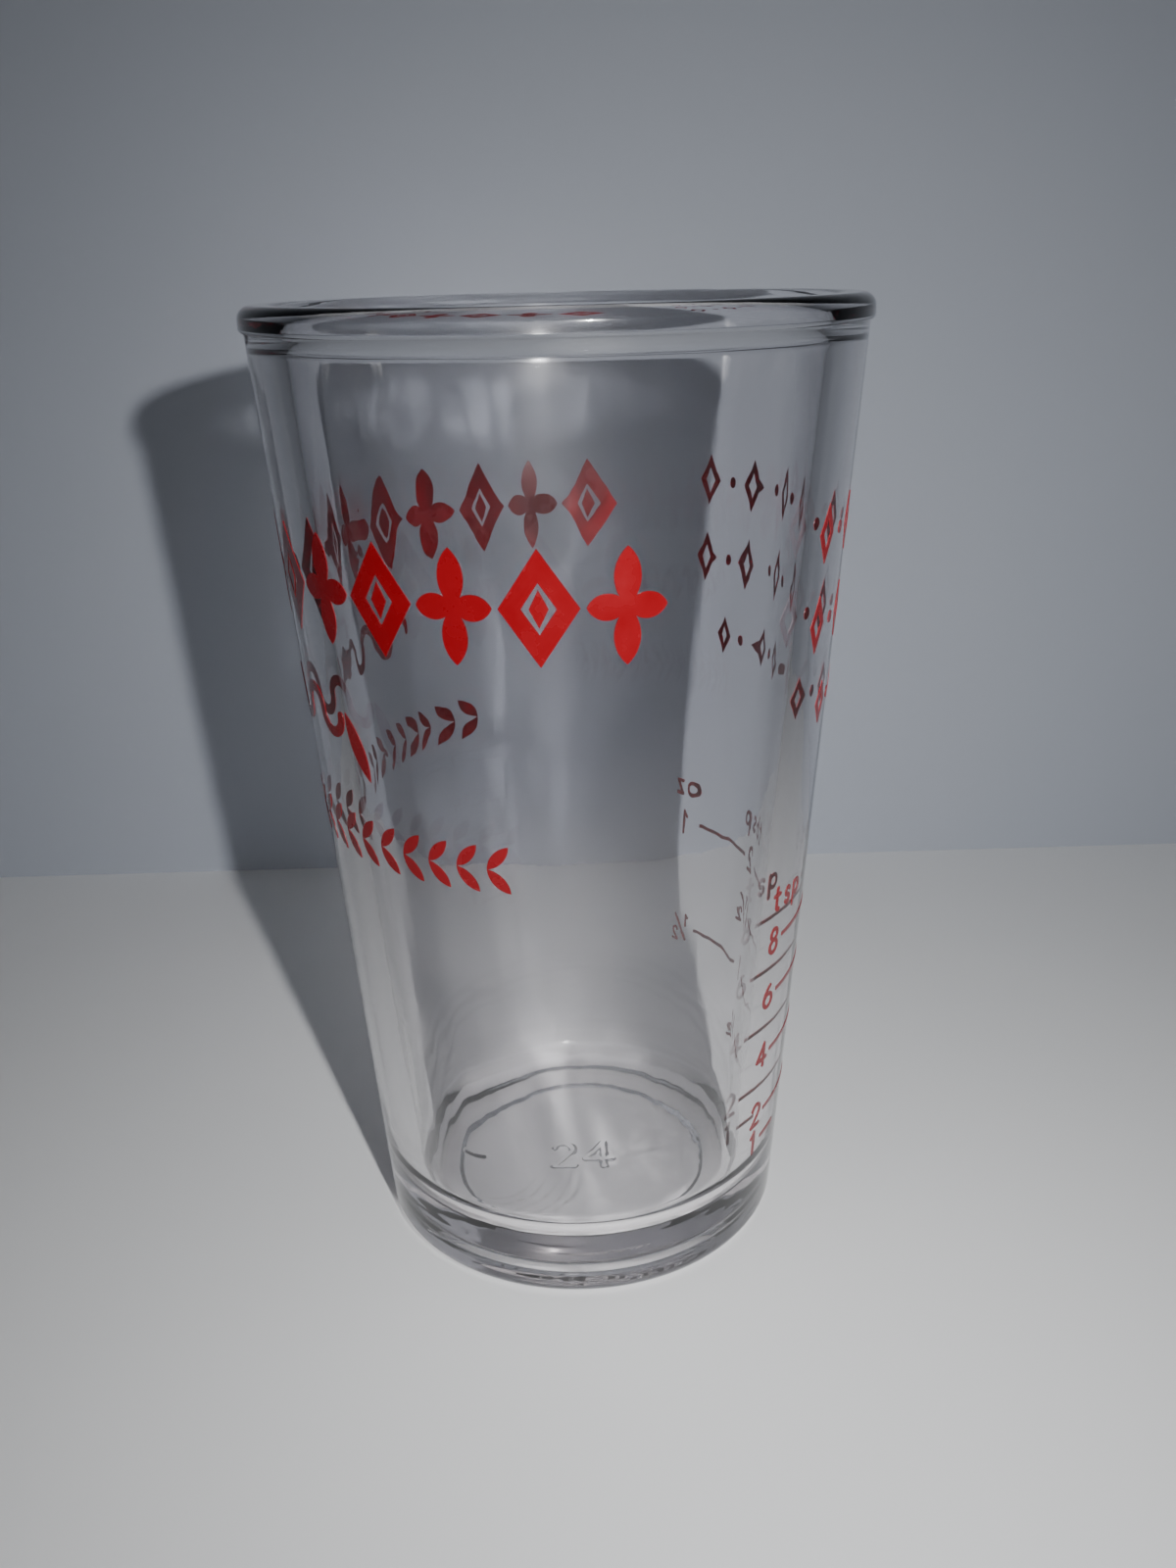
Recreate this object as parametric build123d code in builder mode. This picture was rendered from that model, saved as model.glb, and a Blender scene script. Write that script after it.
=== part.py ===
"""Printed measuring tumbler: one pressed glass and the enamel fired onto it.

Millimetres, +Z up. The origin is the centre of the foot, on the table.
Turns round the glass are in degrees from the front (-Y), positive to the right (+X).
"""

import os
from math import atan2, cos, degrees, hypot, radians, sin

from build123d import *

os.makedirs("parts", exist_ok=True)

# ---- glass ------------------------------------------------------------------
height = 89.0            # foot to rim, three and a half inches
rim_dia = 53.8           # over the bead
bead_height = 2.2        # the rounded bead round the rim
bead_proud = 0.45        # how far the bead stands out from the wall
foot_dia = 40.0          # the taper carried down to the table
heel_radius = 1.6        # rounding where the wall meets the foot
rim_bore = 46.8          # inside diameter at the rim
floor_bore = 33.6        # inside diameter where wall and floor would meet
floor_height = 4.4       # top of the solid base
floor_fillet = 4.4       # rounded corner between floor and wall
recess_dia = 27.0        # hollow under the base
recess_depth = 0.8       # its depth, and the height of the foot ring
recess_flare = 0.7       # sloping edge of the hollow
mark_height = 4.4        # mould number under the base
mark_stroke = 0.6
mark_space = 1.8         # each figure's middle from the centre
mark_raised = 0.3        # how far it stands out of the hollow's ceiling

# ---- enamel -----------------------------------------------------------------
enamel = 0.08            # thickness of the fired print
bite = 1.5               # how far each stencil reaches either side of the wall
frieze_level = 67.7      # middle of the large band of lozenges and four-leaf motifs
frieze_height = 9.2
frieze_start = -187.0    # first motif
frieze_pitch = 15.2
frieze_count = 14
frieze_width = 6.2
frieze_stroke = 1.45
frieze_pip = 1.5         # width of the small lozenge inside the large one
petal_width = 2.1
flourish_level = 56.6    # wave under the band
flourish_start = -122.0
flourish_count = 5
flourish_radius = 1.65
flourish_stroke = 0.95
flourish_leaf = 6.2      # long leaf at its right-hand end
flourish_leaf_width = 1.7
laurel_level = 45.6      # line of leaf pairs
laurel_start = -147.0
laurel_pitch = 6.6
laurel_count = 21
laurel_leaf = 2.9
laurel_leaf_width = 1.05
laurel_spread = 48       # lean of each leaf away from the line
note_middle = 97.0       # three short lines on the right, all centred here
note_levels = (70.6, 62.9, 55.2)
note_heights = (5.0, 5.0, 3.9)
note_counts = (11, 11, 9)
note_pitch = 7.8
note_width = 2.8
note_stroke = 0.6
note_dot = 1.1
numeral_height = 2.7
numeral_stroke = 0.42
half_height = 1.5        # the small figures in a half
half_stroke = 0.3
line_stroke = 0.38
unit_height = 2.5
unit_level = 37.6
spoon_turn = 53.0        # where each scale's figures stand
table_turn = 102.5
ounce_turn = 138.5
level_8 = 33.8           # heights of the graduations above the table
level_6 = 28.0
level_4 = 21.4
level_2 = 14.6
level_1 = 11.3

wall_top = height - bead_height
wall_top_radius = rim_dia / 2 - bead_proud
taper = (wall_top_radius - foot_dia / 2) / wall_top

# Strokes of each figure on a height of one: a bar is two ends, a bow is a centre,
# a radius and the two angles it runs between.
FIGURES = {
    "1": (((0.03, 0.05), (0.03, 0.95)), ((0.03, 0.95), (-0.16, 0.76))),
    "2": (((0, 0.70), 0.25, -38, 165), ((0.197, 0.546), (-0.26, 0.05)), ((-0.26, 0.05), (0.27, 0.05))),
    "4": (((0.12, 0.05), (0.12, 0.95)), ((0.12, 0.95), (-0.3, 0.32)), ((-0.3, 0.32), (0.32, 0.32))),
    "6": (((0, 0.31), 0.26, 0, 360), ((0.36, 0.31), 0.62, 116, 180)),
    "8": (((0, 0.28), 0.235, 0, 360), ((0, 0.745), 0.2, 0, 360)),
    "t": (((0, 0.16), (0, 0.92)), ((0.12, 0.16), 0.12, 180, 290), ((-0.18, 0.64), (0.2, 0.64))),
    "s": (((0, 0.49), 0.155, 25, 270), ((0, 0.18), 0.155, -155, 90)),
    "p": (((0, 0.34), 0.26, 0, 360), ((-0.26, 0.62), (-0.26, -0.3))),
    "b": (((0, 0.34), 0.26, 0, 360), ((-0.26, 0.06), (-0.26, 0.98))),
    "o": (((0, 0.34), 0.26, 0, 360),),
    "z": (((-0.22, 0.6), (0.22, 0.6)), ((0.22, 0.6), (-0.22, 0.06)), ((-0.22, 0.06), (0.24, 0.06))),
    "/": (((-0.3, 0.0), (0.3, 1.0)),),
}


def wall(level):
    """Outer radius of the wall at a height."""
    return foot_dia / 2 + taper * level


def stencil(turn, level):
    """Upright plane just inside the wall, facing out, where a motif is drawn."""
    a = radians(turn)
    r = wall(level) - bite
    out = (sin(a), -cos(a), 0)
    return Plane(origin=(r * out[0], r * out[1], level), x_dir=(cos(a), sin(a), 0), z_dir=out)


def bow(centre, radius, start, end):
    """Centre line of a bowed stroke, in the sketch's own coordinates."""
    return Edge.make_circle(radius, Plane((centre[0], centre[1], 0)), start, end)


def stroke_figure(name, size, stroke, x=0.0, y=0.0):
    """Draws one figure with round-ended strokes in the sketch that is open."""
    for s in FIGURES[name]:
        if len(s) == 2:
            (x1, y1), (x2, y2) = [(x + size * px, y + size * py) for px, py in s]
            with Locations(((x1 + x2) / 2, (y1 + y2) / 2)):
                turn = degrees(atan2(y2 - y1, x2 - x1))
                SlotCenterToCenter(hypot(x2 - x1, y2 - y1), stroke, rotation=turn)
        elif s[3] - s[2] == 360:
            ring = s[1] * size
            with Locations((x + size * s[0][0], y + size * s[0][1])):
                Circle(ring + stroke / 2)
                Circle(ring - stroke / 2, mode=Mode.SUBTRACT)
        else:
            centre = (x + size * s[0][0], y + size * s[0][1])
            SlotArc(bow(centre, s[1] * size, s[2], s[3]), stroke)


def stroke_lozenge(width, tall, rim):
    """Draws a lozenge outline of even thickness."""
    w, h = width / 2, tall / 2
    inner = 1 - rim * hypot(w, h) / (w * h)
    Polygon((w, 0), (0, h), (-w, 0), (0, -h), align=None)
    Polygon(*[(inner * px, inner * py) for px, py in ((w, 0), (0, h), (-w, 0), (0, -h))],
            align=None, mode=Mode.SUBTRACT)


def draw_petal(x, y, length, width, turn):
    """Draws a pointed leaf from (x, y) outwards."""
    a = radians(turn)
    tip = (x + length * cos(a), y + length * sin(a))
    mid = ((x + tip[0]) / 2, (y + tip[1]) / 2)
    side = (-sin(a) * width / 2, cos(a) * width / 2)
    with BuildLine() as edge:
        ThreePointArc((x, y), (mid[0] + side[0], mid[1] + side[1]), tip)
        ThreePointArc(tip, (mid[0] - side[0], mid[1] - side[1]), (x, y))
    make_face(edge.edges())


# ---- the glass --------------------------------------------------------------
with BuildPart() as glass:
    with BuildSketch(Plane.XZ):
        with BuildLine():
            Polyline(
                (0, recess_depth),
                (recess_dia / 2 - recess_flare, recess_depth),
                (recess_dia / 2, 0),
                (foot_dia / 2, 0),
                (wall_top_radius, wall_top),
                (rim_dia / 2, wall_top + 0.05),
                (rim_dia / 2, height),
                (rim_bore / 2, height),
                (floor_bore / 2, floor_height),
                (0, floor_height),
                close=True,
            )
        make_face()
        for corner, radius in (
            ((recess_dia / 2 - recess_flare, recess_depth), 0.5),
            ((recess_dia / 2, 0), 0.5),
            ((foot_dia / 2, 0), heel_radius),
            ((rim_dia / 2, wall_top + 0.05), 0.4),
            ((rim_dia / 2, height), 1.15),
            ((rim_bore / 2, height), 1.25),
            ((floor_bore / 2, floor_height), floor_fillet),
        ):
            fillet(vertices().sort_by_distance(corner)[0], radius)
    revolve(axis=Axis.Z)
    # the mould number, read from above through the base
    with BuildSketch(Plane.XY.offset(recess_depth - mark_raised)):
        stroke_figure("2", mark_height, mark_stroke, -mark_space, -mark_height / 2)
        stroke_figure("4", mark_height, mark_stroke, mark_space, -mark_height / 2)
    extrude(amount=mark_raised + 0.2)
glass.part.label = "tumbler_glass"
export_step(glass.part, "parts/tumbler_glass.step")

# ---- the layer every print is cut from --------------------------------------
with BuildPart() as layer:
    with BuildSketch(Plane.XZ):
        with BuildLine():
            Polyline(
                (wall(5), 5),
                (wall(5) + enamel, 5),
                (wall(80) + enamel, 80),
                (wall(80), 80),
                close=True,
            )
        make_face()
    revolve(axis=Axis.Z)

# ---- large band of lozenges and four-leaf motifs ----------------------------
with BuildPart() as frieze:
    for n in range(frieze_count):
        with BuildSketch(stencil(frieze_start + n * frieze_pitch, frieze_level)):
            if n % 2 == 0:
                stroke_lozenge(frieze_width, frieze_height, frieze_stroke)
                pip = frieze_pip / 2
                Polygon((pip, 0), (0, 2 * pip), (-pip, 0), (0, -2 * pip), align=None)
            else:
                for turn in (90, 270):
                    draw_petal(0, 0, frieze_height / 2, petal_width, turn)
                for turn in (0, 180):
                    draw_petal(0, 0, frieze_width / 2, petal_width, turn)
                Circle(petal_width * 0.43)
        extrude(amount=2 * bite)
    add(layer.part, mode=Mode.INTERSECT)
frieze.part.label = "frieze_print"
export_step(frieze.part, "parts/frieze_print.step")

# ---- wave with a leaf at its end --------------------------------------------
flourish_pitch = degrees(4 * flourish_radius / wall(flourish_level))
with BuildPart() as flourish:
    for n in range(flourish_count):
        with BuildSketch(stencil(flourish_start + n * flourish_pitch, flourish_level)):
            for centre, start in (((-flourish_radius, 0), 0), ((flourish_radius, 0), 180)):
                SlotArc(bow(centre, flourish_radius, start, start + 180), flourish_stroke)
        extrude(amount=2 * bite)
    with BuildSketch(stencil(flourish_start + (flourish_count - 0.38) * flourish_pitch,
                             flourish_level)):
        draw_petal(0, 0.6, flourish_leaf, flourish_leaf_width, -68)
    extrude(amount=2 * bite)
    add(layer.part, mode=Mode.INTERSECT)
flourish.part.label = "flourish_print"
export_step(flourish.part, "parts/flourish_print.step")

# ---- laurel line: pairs of small leaves, one pair behind the other ----------
with BuildPart() as laurel:
    for n in range(laurel_count):
        with BuildSketch(stencil(laurel_start + n * laurel_pitch, laurel_level)):
            for turn in (laurel_spread, -laurel_spread):
                draw_petal(-1, 0, laurel_leaf, laurel_leaf_width, turn)
        extrude(amount=2 * bite)
    add(layer.part, mode=Mode.INTERSECT)
laurel.part.label = "laurel_print"
export_step(laurel.part, "parts/laurel_print.step")

# ---- three short lines of small lozenges and dots ---------------------------
for name, level, tall, count in zip(("upper", "middle", "lower"), note_levels, note_heights,
                                    note_counts):
    with BuildPart() as note:
        for n in range(count):
            turn = note_middle + (n - (count - 1) / 2) * note_pitch
            with BuildSketch(stencil(turn, level)):
                if n % 2 == 0:
                    stroke_lozenge(note_width, tall, note_stroke)
                else:
                    Circle(note_dot / 2)
            extrude(amount=2 * bite)
        add(layer.part, mode=Mode.INTERSECT)
    note.part.label = f"note_{name}_print"
    export_step(note.part, f"parts/note_{name}_print.step")

# ---- the three scales: figures ----------------------------------------------
teaspoons = (("8", level_8), ("6", level_6), ("4", level_4), ("2", level_2), ("1", level_1))
tablespoons = (("2", level_8), ("1/2", level_6), ("1", level_4), ("/2", level_2))
ounces = (("1", level_8), ("/2", level_4))
for name, turn, marks in (
    ("teaspoon", spoon_turn, teaspoons),
    ("tablespoon", table_turn, tablespoons),
    ("ounce", ounce_turn, ounces),
):
    with BuildPart() as figures:
        for figure, level in marks:
            with BuildSketch(stencil(turn, level)):
                low = -numeral_height / 2
                if "/" not in figure:
                    stroke_figure(figure, numeral_height, numeral_stroke, 0, low)
                else:
                    shift = 0.0
                    if figure[0] == "1":
                        shift = 0.9
                        stroke_figure("1", numeral_height, numeral_stroke, -1.3, low)
                    stroke_figure("1", half_height, half_stroke, shift - 0.85, 0.15)
                    stroke_figure("/", numeral_height, half_stroke, shift, low)
                    stroke_figure("2", half_height, half_stroke, shift + 0.85, -0.15 - half_height)
            extrude(amount=2 * bite)
        add(layer.part, mode=Mode.INTERSECT)
    figures.part.label = f"{name}_figures"
    export_step(figures.part, f"parts/{name}_figures.step")

# ---- the three scales: unit names -------------------------------------------
for name, turn, word in (
    ("teaspoon", spoon_turn + 5, "tsp"),
    ("tablespoon", table_turn - 3, "tbsp"),
    ("ounce", ounce_turn, "oz"),
):
    with BuildPart() as unit:
        with BuildSketch(stencil(turn, unit_level)):
            for n, letter in enumerate(word):
                x = (n - (len(word) - 1) / 2) * 0.86 * unit_height
                stroke_figure(letter, unit_height, numeral_stroke, x, -0.3 * unit_height)
        extrude(amount=2 * bite)
        add(layer.part, mode=Mode.INTERSECT)
    unit.part.label = f"{name}_unit"
    export_step(unit.part, f"parts/{name}_unit.step")

# ---- the graduation lines between the figures -------------------------------
spoon_lines = ((level_8, 57, 96), (level_6, 57, 95), (level_4, 57, 96), (level_2, 57, 96),
               (level_1, 57, 66))
ounce_lines = ((level_8, 107, 134), (level_4, 107, 134))
for name, lines in (("spoon", spoon_lines), ("ounce", ounce_lines)):
    with BuildPart() as graduation:
        for level, start, end in lines:
            a = radians(start)
            with BuildSketch(Plane(origin=(0, 0, level), x_dir=(sin(a), -cos(a), 0),
                                   z_dir=(-cos(a), -sin(a), 0))):
                with Locations((wall(level), 0)):
                    Rectangle(2 * bite, line_stroke)
            revolve(axis=Axis.Z, revolution_arc=end - start)
        add(layer.part, mode=Mode.INTERSECT)
    graduation.part.label = f"{name}_lines"
    export_step(graduation.part, f"parts/{name}_lines.step")
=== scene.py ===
import math

import bmesh
import bpy
from mathutils import Matrix, Vector, noise


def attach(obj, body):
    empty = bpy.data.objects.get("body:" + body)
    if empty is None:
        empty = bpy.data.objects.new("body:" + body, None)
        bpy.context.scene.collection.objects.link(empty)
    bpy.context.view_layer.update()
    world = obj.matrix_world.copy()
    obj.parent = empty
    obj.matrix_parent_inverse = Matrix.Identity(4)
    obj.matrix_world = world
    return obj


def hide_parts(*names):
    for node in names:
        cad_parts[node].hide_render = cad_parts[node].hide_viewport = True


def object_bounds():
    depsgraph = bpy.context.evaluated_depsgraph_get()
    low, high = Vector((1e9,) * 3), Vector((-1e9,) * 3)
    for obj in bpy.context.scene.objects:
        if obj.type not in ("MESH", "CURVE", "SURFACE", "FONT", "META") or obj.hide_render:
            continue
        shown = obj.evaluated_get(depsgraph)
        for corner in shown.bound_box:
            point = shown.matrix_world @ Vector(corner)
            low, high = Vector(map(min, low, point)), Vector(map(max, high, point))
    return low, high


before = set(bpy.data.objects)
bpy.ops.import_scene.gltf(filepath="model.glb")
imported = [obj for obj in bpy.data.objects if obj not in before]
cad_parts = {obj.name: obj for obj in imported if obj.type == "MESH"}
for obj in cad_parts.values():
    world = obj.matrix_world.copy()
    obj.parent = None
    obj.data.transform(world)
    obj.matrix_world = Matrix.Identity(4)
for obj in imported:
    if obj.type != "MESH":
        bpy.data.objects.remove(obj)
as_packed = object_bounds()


# ---- The camera ------------------------------------------------------------------------------------------
# The eye is close in front of the tumbler and a little above its rim, looking down over the near edge onto
# the floor of the glass.
rim_radius = (as_packed[1].x - as_packed[0].x) / 2
eye_back = 4.633 * rim_radius
eye_height = 3.401 * rim_radius
look_down = math.radians(20.72)
look_right = math.radians(0.77)
lean = math.radians(-1.35)

ahead = Vector((
    math.sin(look_right) * math.cos(look_down),
    math.cos(look_right) * math.cos(look_down),
    -math.sin(look_down)))
across = ahead.cross(Vector((0, 0, 1))).normalized()
above = across.cross(ahead)
turned_across = math.cos(lean) * across + math.sin(lean) * above
turned_above = -math.sin(lean) * across + math.cos(lean) * above
bpy.ops.object.select_all(action="DESELECT")
bpy.ops.object.camera_add(location=(0, -eye_back, eye_height))
eye = bpy.context.object
eye.name = "eye"
eye.rotation_euler = Matrix((turned_across, turned_above, -ahead)).transposed().to_euler()
eye.data.sensor_width = 36.0
eye.data.lens = 31.5
eye.data.clip_start = 0.005
eye.data.clip_end = 10.0
bpy.context.scene.camera = eye


# ---- The glass -------------------------------------------------------------------------------------------
# One piece of clear pressed soda-lime glass: a thick floor with a shallow recess under it, a tapering wall
# and a rounded bead at the rim. The plunger leaves the inside slightly wavy, and the mould leaves a raised
# number under the floor. The lengths are in millimetres.
mm = 0.001
foot_radius = 20.0
heel_radius = 1.6
bead_bottom = 86.8
bead_foot_radius = 26.45
bead_radius = 26.88
height = 89.0
bore_radius = 23.4
floor_corner_radius = 16.8
floor_level = 4.4
floor_fillet = 4.4
recess_radius = 12.8
recess_edge_radius = 13.5
recess_depth = 0.8
skin = 0.03
around = 320


def pick(mesh_object, rule, kind="verts"):
    """Selects in edit mode what the rule is true for, and nothing else."""
    work = bmesh.from_edit_mesh(mesh_object.data)
    for group in (work.verts, work.edges, work.faces):
        for item in group:
            item.select = False
    bpy.context.tool_settings.mesh_select_mode = (kind == "verts", kind == "edges", kind == "faces")
    for item in getattr(work, kind):
        if rule(item):
            item.select_set(True)
    work.select_flush_mode()
    bmesh.update_edit_mesh(mesh_object.data)


def near(a, b, reach=0.02):
    return (a[0] - b[0] * mm) ** 2 + (a[1] - b[1] * mm) ** 2 < (reach * mm) ** 2


# the half section is drawn in the XZ plane from the middle of the recess, under the foot, up the outside,
# over the rim, down the inside and back to the axis
section = [
    (0.0, recess_depth),
    (5.2, recess_depth),
    (recess_radius, recess_depth),
    (recess_edge_radius, 0.0),
    (foot_radius + skin, 0.0),
    (bead_foot_radius + skin, bead_bottom),
    (bead_radius, bead_bottom + 0.05),
    (bead_radius, height),
    (bore_radius, height),
    (floor_corner_radius, floor_level),
    (5.0, floor_level),
    (0.0, floor_level),
]
bpy.ops.object.select_all(action="DESELECT")
bpy.ops.mesh.primitive_plane_add(size=2 * mm)
glass = bpy.context.object
glass.name = "pressed_glass_body"
bpy.ops.object.mode_set(mode="EDIT")
bpy.ops.mesh.select_all(action="SELECT")
bpy.ops.mesh.merge(type="CENTER")
bpy.ops.transform.translate(value=(0, 0, section[0][1] * mm))
for here, there in zip(section, section[1:]):
    step = ((there[0] - here[0]) * mm, 0, (there[1] - here[1]) * mm)
    bpy.ops.mesh.extrude_region_move(TRANSFORM_OT_translate={"value": step})


def round_corner(corner, before, after, radius, pieces):
    """Rounds one corner of the drawn section to a radius, as a vertex bevel."""
    one = (Vector(before) - Vector(corner)).normalized()
    two = (Vector(after) - Vector(corner)).normalized()
    half_angle = one.angle(two) / 2
    pick(glass, lambda v: near((v.co.x, v.co.z), corner))
    bpy.ops.mesh.bevel(
        offset_type="OFFSET", offset=radius / math.tan(half_angle) * mm,
        segments=pieces, affect="VERTICES")


# each corner of the section, its radius and how many pieces round it
for place, radius, pieces in (
        (2, 0.5, 4), (3, 0.5, 4), (4, heel_radius, 10), (6, 0.4, 5), (7, 1.15, 10), (8, 1.25, 10),
        (9, floor_fillet, 18)):
    round_corner(section[place], section[place - 1], section[place + 1], radius, pieces)


# every straight run is longer than this and every piece of a rounded corner is shorter, and rounding the
# corners shifts a run's middle by less than the reach
shortest_run = 2.2
middle_reach = 2.8


def cut_run(start, end, cuts):
    """Cuts the straight run between two corners of the section into even lengths, to be moved later."""
    middle = ((start[0] + end[0]) / 2, (start[1] + end[1]) / 2)

    def on_run(edge):
        centre = (edge.verts[0].co + edge.verts[1].co) / 2
        return edge.calc_length() > shortest_run * mm and near((centre.x, centre.z), middle, middle_reach)
    pick(glass, on_run, "edges")
    bpy.ops.mesh.subdivide(number_cuts=cuts)


for place, cuts in ((0, 36), (1, 18), (3, 10), (4, 52), (8, 48), (9, 40), (10, 24)):
    cut_run(section[place], section[place + 1], cuts)

bpy.ops.mesh.select_all(action="SELECT")
bpy.ops.mesh.spin(steps=around, angle=2 * math.pi, center=(0, 0, 0), axis=(0, 0, 1))
bpy.ops.mesh.select_all(action="SELECT")
bpy.ops.mesh.remove_doubles(threshold=0.0005 * mm)
bpy.ops.mesh.normals_make_consistent(inside=False)
bpy.ops.object.mode_set(mode="OBJECT")
bpy.ops.object.shade_smooth()


def inside_radius(level):
    """The radius of the bore at a height, on its straight part."""
    rise = (level - floor_level) / (height - floor_level)
    return floor_corner_radius + (bore_radius - floor_corner_radius) * rise


def ease(value):
    value = min(1.0, max(0.0, value))
    return value * value * (3 - 2 * value)


def bar_distance(x, y, start, end):
    """How far a point is from a straight stroke."""
    run = Vector(end) - Vector(start)
    along = min(1.0, max(0.0, (Vector((x, y)) - Vector(start)).dot(run) / run.length_squared))
    return (Vector((x, y)) - Vector(start) - along * run).length


def bow_distance(x, y, centre, radius, first, last):
    """How far a point is from a stroke that is part of a circle, between two angles."""
    turn = math.degrees(math.atan2(y - centre[1], x - centre[0]))
    if first <= turn <= last:
        return abs(math.hypot(x - centre[0], y - centre[1]) - radius)
    ends = [(centre[0] + radius * math.cos(math.radians(a)), centre[1] + radius * math.sin(math.radians(a)))
            for a in (first, last)]
    return min(math.hypot(x - e[0], y - e[1]) for e in ends)


# the mould number 24, cut into the mould plate and so raised under the floor, each figure on a height of one
mark_height = 4.4
mark_stroke = 0.6
mark_raise = 0.3


def mark_distance(x, y):
    """How far a point under the floor is from the nearest stroke of the mould number."""
    two = ((x + 1.8) / mark_height, y / mark_height + 0.5)
    four = ((x - 1.8) / mark_height, y / mark_height + 0.5)
    return mark_height * min(
        bow_distance(*two, (0, 0.70), 0.25, -38, 165),
        bar_distance(*two, (0.197, 0.546), (-0.26, 0.05)),
        bar_distance(*two, (-0.26, 0.05), (0.27, 0.05)),
        bar_distance(*four, (0.12, 0.05), (0.12, 0.95)),
        bar_distance(*four, (0.12, 0.95), (-0.30, 0.32)),
        bar_distance(*four, (-0.30, 0.32), (0.32, 0.32)))


# the inside of the wall keeps the plunger's long vertical waves, the rim is a little uneven where the flame
# polished it, and the underside keeps faint rings from the turned mould plate
long_wave_depth = 0.10
wave_depth = 0.022
ripple_depth = 0.010
dapple_depth = 0.003
rim_dip = 0.05
turned_ring_height = 0.06

# the floor has curved chill wrinkles and a short tick on its left and an orange peel on its right; each
# wrinkle is a bow about one centre, with its radius, its share of the height and its half width
wrinkle_centre = (-8.5, -5.5)
wrinkles = ((3.4, 0.6, 0.3), (4.6, 0.8, 0.28), (5.8, 0.7, 0.28), (7.2, 1.0, 0.3), (8.3, 0.95, 0.28))
wrinkle_height = 0.24
coarse_peel = 0.055
fine_peel = 0.035
floor_sag = 0.05
tick_start = (-12.2, -1.1)
tick_end = (-10.1, -2.1)
tick_height = 0.30
worked_floor = 16.0

# this attribute holds painted light and shade for the table under the base: how much more of the lamp's
# light each place in the base lets through, where the surface gathers it, or less, where the surface throws
# it aside
under_gain = 0.22
mark_gain = 0.16
peel_gain = 26.0
wrinkle_loss = 4.2
tick_loss = 2.4
painted_light_gain_values = glass.data.attributes.new("painted_light_gain", "FLOAT", "POINT")
for point, gain in zip(glass.data.vertices, painted_light_gain_values.data):
    x, y, z = (c / mm for c in point.co)
    reach = math.hypot(x, y)
    turn = (x / reach, y / reach) if reach > 0.001 else (0, 0)
    if z > floor_level + 0.5 and abs(reach - inside_radius(z)) < 0.25:
        hold = ease((z - 7.5) / 8) * ease((87.9 - z) / 6)
        long_wave = noise.noise((turn[0] * 3.1, turn[1] * 3.1, z / 95 + 4))
        wave = noise.noise((turn[0] * 8.5, turn[1] * 8.5, z / 60 + 9))
        ripple = noise.noise((turn[0] * 19, turn[1] * 19, z / 22 + 2))
        dapple = noise.noise((turn[0] * 34, turn[1] * 34, z / 4))
        move = hold * (
            long_wave_depth * long_wave + wave_depth * wave + ripple_depth * ripple + dapple_depth * dapple)
        x += move * turn[0]
        y += move * turn[1]
    elif z > 87.2:
        dip = 0.5 + 0.5 * noise.noise((turn[0] * 1.7, turn[1] * 1.7, 6))
        z -= rim_dip * dip * ease((z - 87.2) / 1.5)
    elif z < 0.85 and reach < 5.3:
        raised = ease((mark_stroke / 2 + 0.10 - mark_distance(x, y)) / 0.2)
        z -= mark_raise * raised
        gain.value = under_gain + mark_gain * raised
    elif z < 2.0:
        turned = 0.5 + 0.5 * noise.noise((reach * 1.5, turn[0] * 1.3, turn[1] * 1.3))
        z += turned_ring_height * turned * ease((reach - 6.5) / 2) * ease((18.8 - reach) / 1.5)
        gain.value = under_gain
    elif 4.3 < z < 5.6 and reach < worked_floor:
        run_x = x - wrinkle_centre[0]
        run_y = y - wrinkle_centre[1]
        bearing = math.degrees(math.atan2(run_y, run_x))
        swing = ease((bearing + 128) / 25) * ease((8 - bearing) / 22)
        fold = 0.0
        for ring, share, width in wrinkles:
            drift = ring + 0.35 * noise.noise((bearing / 26, ring * 3, 1))
            fold += share * math.exp(-((math.hypot(run_x, run_y) - drift) / width) ** 2)
        wrinkle = wrinkle_height * fold * swing
        right = ease((x * 0.75 - y * 0.66 - 1.0) / 6)
        peel = (
            coarse_peel * right * noise.noise((x * 1.15, y * 1.15, 3))
            + fine_peel * right * noise.noise((x * 2.6, y * 2.6, 5)))
        sag = floor_sag * noise.noise((x / 7, y / 7, 8))
        tick = tick_height * ease((0.42 - bar_distance(x, y, tick_start, tick_end)) / 0.4)
        near_middle = ease((worked_floor - reach) / 3)
        z += (wrinkle + peel + sag + tick) * near_middle
        gain.value = (peel_gain * peel - wrinkle_loss * wrinkle - tick_loss * tick) * near_middle
    point.co = (x * mm, y * mm, z * mm)


def srgb(code):
    """A colour as written on a paint card, as the shader's linear colour."""
    parts = [int(code[i:i + 2], 16) / 255 for i in (1, 3, 5)]
    return tuple(c / 12.92 if c <= 0.04045 else ((c + 0.055) / 1.055) ** 2.4 for c in parts) + (1.0,)


def add_node(material, kind, settings=None, inputs=None):
    """Adds one shader node; an input is given a value, or another node's output to be linked to."""
    node = material.node_tree.nodes.new(kind)
    for key, value in (settings or {}).items():
        setattr(node, key, value)
    for key, value in (inputs or {}).items():
        if isinstance(value, bpy.types.NodeSocket):
            material.node_tree.links.new(value, node.inputs[key])
        else:
            node.inputs[key].default_value = value
    return node


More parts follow.
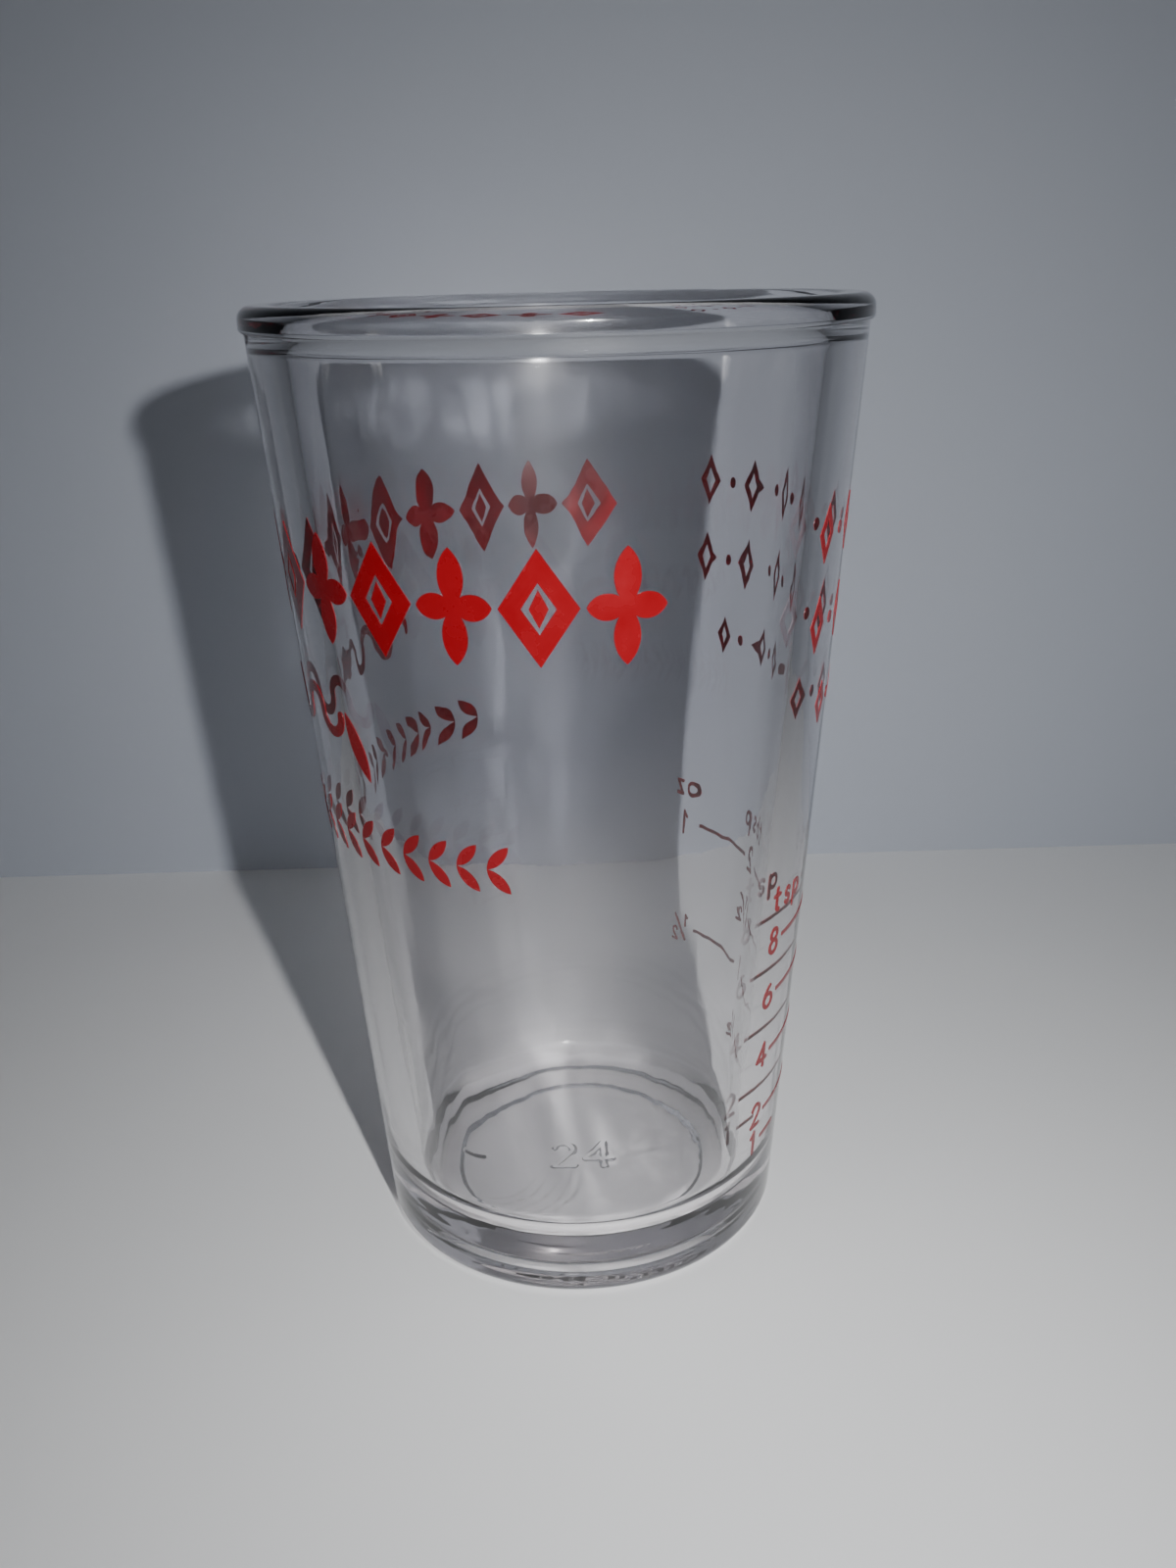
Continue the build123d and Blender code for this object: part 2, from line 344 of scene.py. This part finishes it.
# clear flint glass with a faint grey-mauve cast that shows in the thick floor; handling has left a few dull
# specks on a fire-polished face
clear_glass = bpy.data.materials.new("clear_flint_glass")
clear_glass.use_nodes = True
clear_glass.node_tree.nodes.clear()
where = add_node(clear_glass, "ShaderNodeTexCoord")
bloom = add_node(clear_glass, "ShaderNodeTexNoise", inputs={
    "Vector": where.outputs["Object"], "Scale": 160.0, "Detail": 3.0, "Roughness": 0.55})
dullness = add_node(clear_glass, "ShaderNodeMapRange", inputs={
    "Value": bloom.outputs["Fac"], "From Min": 0.45, "From Max": 0.8, "To Min": 0.004, "To Max": 0.035})
fine = add_node(clear_glass, "ShaderNodeTexNoise", inputs={
    "Vector": where.outputs["Object"], "Scale": 420.0, "Detail": 2.0, "Roughness": 0.5})
skin_bump = add_node(clear_glass, "ShaderNodeBump", inputs={
    "Height": fine.outputs["Fac"], "Strength": 0.25, "Distance": 0.00002})
body = add_node(clear_glass, "ShaderNodeBsdfPrincipled", inputs={
    "Base Color": srgb("#FBFBFC"), "Roughness": dullness.outputs["Result"], "IOR": 1.52,
    "Transmission Weight": 1.0, "Normal": skin_bump.outputs["Normal"],
    "Coat Weight": 0.2, "Coat Roughness": 0.16, "Coat IOR": 1.52})

# a ray from the lamp is let straight through in soft streaks, less of it where it meets the wall edge on and
# least in the bead, which stands for the way real glass bends its light; the floor goes by its relief
edge_on = add_node(clear_glass, "ShaderNodeLayerWeight", inputs={"Blend": 0.5})
flat_place = add_node(clear_glass, "ShaderNodeVectorMath", {"operation": "MULTIPLY"}, {
    0: where.outputs["Object"], 1: (1.0, 1.0, 0.0)})
wall_bearing = add_node(clear_glass, "ShaderNodeVectorMath", {"operation": "NORMALIZE"}, {
    0: flat_place.outputs["Vector"]})
level_only = add_node(clear_glass, "ShaderNodeVectorMath", {"operation": "MULTIPLY"}, {
    0: where.outputs["Object"], 1: (0.0, 0.0, 8.5)})
round_wall = add_node(clear_glass, "ShaderNodeVectorMath", {"operation": "ADD"}, {
    0: wall_bearing.outputs["Vector"], 1: level_only.outputs["Vector"]})
streaks = add_node(clear_glass, "ShaderNodeTexNoise", inputs={
    "Vector": round_wall.outputs["Vector"], "Scale": 7.5, "Detail": 5.0, "Roughness": 0.66,
    "Distortion": 1.1})
streak_light = add_node(clear_glass, "ShaderNodeMapRange", inputs={
    "Value": streaks.outputs["Fac"], "From Min": 0.41, "From Max": 0.61,
    "To Min": 0.34, "To Max": 1.45})
wall_light = add_node(clear_glass, "ShaderNodeMapRange", {"interpolation_type": "SMOOTHSTEP"}, {
    "Value": edge_on.outputs["Facing"], "From Min": 0.10, "From Max": 0.68, "To Min": 0.88, "To Max": 0.02})
level = add_node(clear_glass, "ShaderNodeSeparateXYZ", inputs={"Vector": where.outputs["Object"]})
low_in_front = add_node(clear_glass, "ShaderNodeMath", {"operation": "MULTIPLY_ADD"}, {
    0: level.outputs["Y"], 1: 1.5, 2: level.outputs["Z"]})
lower_wall = add_node(clear_glass, "ShaderNodeMapRange", {"interpolation_type": "SMOOTHSTEP"}, {
    "Value": low_in_front.outputs["Value"], "From Min": -0.006, "From Max": 0.025,
    "To Min": 1.05, "To Max": 0.86})
wall_facing = add_node(clear_glass, "ShaderNodeMath", {"operation": "MULTIPLY"}, {
    0: lower_wall.outputs["Result"], 1: wall_light.outputs["Result"]})
wall_let = add_node(clear_glass, "ShaderNodeMath", {"operation": "MULTIPLY"}, {
    0: streak_light.outputs["Result"], 1: wall_facing.outputs["Value"]})
off_floor = add_node(clear_glass, "ShaderNodeMapRange", {"interpolation_type": "SMOOTHSTEP"}, {
    "Value": level.outputs["Z"], "From Min": 0.0047, "From Max": 0.0075, "To Min": 0.0, "To Max": 1.0})
# the floor's share of the lamp's light is painted light and shade, read from the attribute set above from the
# base's relief
painted_light_gain = add_node(clear_glass, "ShaderNodeAttribute", {"attribute_name": "painted_light_gain"})
floor_let = add_node(clear_glass, "ShaderNodeMath", {"operation": "MULTIPLY_ADD"}, {
    0: painted_light_gain.outputs["Fac"], 1: 1.0, 2: 0.62})
below_bead = add_node(clear_glass, "ShaderNodeMapRange", {"interpolation_type": "SMOOTHSTEP"}, {
    "Value": level.outputs["Z"], "From Min": 0.0845, "From Max": 0.0870, "To Min": 1.0, "To Max": 0.22})
wall_and_bead = add_node(clear_glass, "ShaderNodeMath", {"operation": "MULTIPLY"}, {
    0: wall_let.outputs["Value"], 1: below_bead.outputs["Result"]})
lamp_share = add_node(clear_glass, "ShaderNodeMix", {"data_type": "FLOAT"}, {
    0: off_floor.outputs["Result"], 2: floor_let.outputs["Value"], 3: wall_and_bead.outputs["Value"]})
let_through = add_node(clear_glass, "ShaderNodeBsdfTransparent", inputs={"Color": lamp_share.outputs[0]})
ray = add_node(clear_glass, "ShaderNodeLightPath")
lamp_or_eye = add_node(clear_glass, "ShaderNodeMixShader", inputs={
    0: ray.outputs["Is Shadow Ray"], 1: body.outputs["BSDF"], 2: let_through.outputs["BSDF"]})
depth_tint = add_node(clear_glass, "ShaderNodeVolumeAbsorption", inputs={
    "Color": srgb("#D1C6C8"), "Density": 27.0})
add_node(clear_glass, "ShaderNodeOutputMaterial", inputs={
    "Surface": lamp_or_eye.outputs["Shader"], "Volume": depth_tint.outputs["Volume"]})
glass.data.materials.append(clear_glass)
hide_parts("tumbler_glass")
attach(glass, "root")


# ---- The ornament bands ----------------------------------------------------------------------------------
# A frieze of lozenges and four-leaf shapes, a running scroll and a line of leaves, screen-printed in red glass
# enamel and fired on. The enamel stands a hair above the glass, glossy, a little thinner and darker in places.
red_enamel = bpy.data.materials.new("fired_red_enamel")
red_enamel.use_nodes = True
red_enamel.node_tree.nodes.clear()
where = add_node(red_enamel, "ShaderNodeTexCoord")
coverage = add_node(red_enamel, "ShaderNodeTexNoise", inputs={
    "Vector": where.outputs["Object"], "Scale": 260.0, "Detail": 4.0, "Roughness": 0.6})
shade = add_node(red_enamel, "ShaderNodeMix", {"data_type": "RGBA"}, {
    0: coverage.outputs["Fac"], 6: srgb("#70060E"), 7: srgb("#820812")})
gloss = add_node(red_enamel, "ShaderNodeMapRange", inputs={
    "Value": coverage.outputs["Fac"], "From Min": 0.3, "From Max": 0.75, "To Min": 0.20, "To Max": 0.34})
peel = add_node(red_enamel, "ShaderNodeTexNoise", inputs={
    "Vector": where.outputs["Object"], "Scale": 1300.0, "Detail": 2.0, "Roughness": 0.5})
peel_bump = add_node(red_enamel, "ShaderNodeBump", inputs={
    "Height": peel.outputs["Fac"], "Strength": 0.12, "Distance": 0.00003})
enamel = add_node(red_enamel, "ShaderNodeBsdfPrincipled", inputs={
    "Base Color": shade.outputs[2], "Roughness": gloss.outputs["Result"], "IOR": 1.52,
    "Normal": peel_bump.outputs["Normal"]})
add_node(red_enamel, "ShaderNodeOutputMaterial", inputs={"Surface": enamel.outputs["BSDF"]})
for name in ("frieze_print", "flourish_print", "laurel_print"):
    for slot in bpy.data.objects[name].material_slots:
        slot.material = red_enamel


# ---- The note lines --------------------------------------------------------------------------------------
# Three short lines of small lozenges and dots, printed in one pass with the bands and fired with them, so
# they are the same red enamel.
for name in ("note_upper_print", "note_middle_print", "note_lower_print"):
    for slot in bpy.data.objects[name].material_slots:
        slot.material = red_enamel


# ---- The measuring scales --------------------------------------------------------------------------------
# Teaspoons, tablespoons and ounces side by side: the figures, the unit over each column and the thin lines
# between them, again the same fired red enamel.
for name in ("teaspoon_figures", "tablespoon_figures", "ounce_figures", "teaspoon_unit", "tablespoon_unit",
             "ounce_unit", "spoon_lines", "ounce_lines"):
    for slot in bpy.data.objects[name].material_slots:
        slot.material = red_enamel


# ---- The table, the screen behind it and the light --------------------------------------------------------
# A plain pale laminate table top and a plain grey card screen a hand's width behind the glass. The screen is
# a one-sided sheet, so it is not in the way from behind. One small lamp near the eye, a large dim soft box
# over the room, and an even room that lights little but shows in the glass.
bpy.ops.object.select_all(action="DESELECT")
bpy.ops.mesh.primitive_plane_add(size=2.4, location=(0, 0, -0.0001))
table = bpy.context.object
table.name = "table_top"
pale_top = bpy.data.materials.new("pale_matt_laminate")
pale_top.use_nodes = True
pale_top.node_tree.nodes.clear()
where = add_node(pale_top, "ShaderNodeTexCoord")
mottle = add_node(pale_top, "ShaderNodeTexNoise", inputs={
    "Vector": where.outputs["Object"], "Scale": 9.0, "Detail": 3.0, "Roughness": 0.5})
pale = add_node(pale_top, "ShaderNodeMix", {"data_type": "RGBA"}, {
    0: mottle.outputs["Fac"], 6: srgb("#DADBDC"), 7: srgb("#E4E5E6")})
laminate = add_node(pale_top, "ShaderNodeBsdfPrincipled", inputs={
    "Base Color": pale.outputs[2], "Roughness": 0.55})
add_node(pale_top, "ShaderNodeOutputMaterial", inputs={"Surface": laminate.outputs["BSDF"]})
table.data.materials.append(pale_top)

bpy.ops.mesh.primitive_plane_add(size=2.4, location=(0, 0.082, 1.19), rotation=(math.radians(90), 0, 0))
screen = bpy.context.object
screen.name = "grey_screen"
grey_card = bpy.data.materials.new("grey_card")
grey_card.use_nodes = True
grey_card.node_tree.nodes.clear()
card = add_node(grey_card, "ShaderNodeBsdfPrincipled", inputs={
    "Base Color": srgb("#A3A8B2"), "Roughness": 0.7})
side = add_node(grey_card, "ShaderNodeNewGeometry")
nothing = add_node(grey_card, "ShaderNodeBsdfTransparent")
one_sided = add_node(grey_card, "ShaderNodeMixShader", inputs={
    0: side.outputs["Backfacing"], 1: card.outputs["BSDF"], 2: nothing.outputs["BSDF"]})
add_node(grey_card, "ShaderNodeOutputMaterial", inputs={"Surface": one_sided.outputs["Shader"]})
screen.data.materials.append(grey_card)

bpy.ops.object.light_add(type="AREA", location=(0.020, -0.120, 0.108))
lamp = bpy.context.object
lamp.name = "lamp_by_the_eye"
lamp.data.shape = "DISK"
lamp.data.size = 0.004
lamp.data.energy = 0.145
toward = Vector((0.018, 0.015, 0.02)) - lamp.location
lamp.rotation_euler = toward.to_track_quat("-Z", "Y").to_euler()
lamp.data.spread = math.radians(122)
lamp.visible_camera = False

bpy.ops.object.light_add(type="AREA", location=(0.1, -0.9, 0.8))
soft_box = bpy.context.object
soft_box.name = "soft_box_over_the_room"
soft_box.data.size = 0.7
soft_box.data.energy = 0.2
toward = Vector((0.0, -0.35, 0.0)) - soft_box.location
soft_box.rotation_euler = toward.to_track_quat("-Z", "Y").to_euler()
soft_box.visible_camera = False

room = bpy.data.worlds.new("room")
bpy.context.scene.world = room
room.use_nodes = True
room.node_tree.nodes.clear()
ray = add_node(room, "ShaderNodeLightPath")
glow = add_node(room, "ShaderNodeMapRange", inputs={
    "Value": ray.outputs["Is Diffuse Ray"], "To Min": 0.42, "To Max": 0.045})
walls = add_node(room, "ShaderNodeBackground", inputs={
    "Color": srgb("#9CA2AC"), "Strength": glow.outputs["Result"]})
add_node(room, "ShaderNodeOutputWorld", inputs={"Surface": walls.outputs["Background"]})
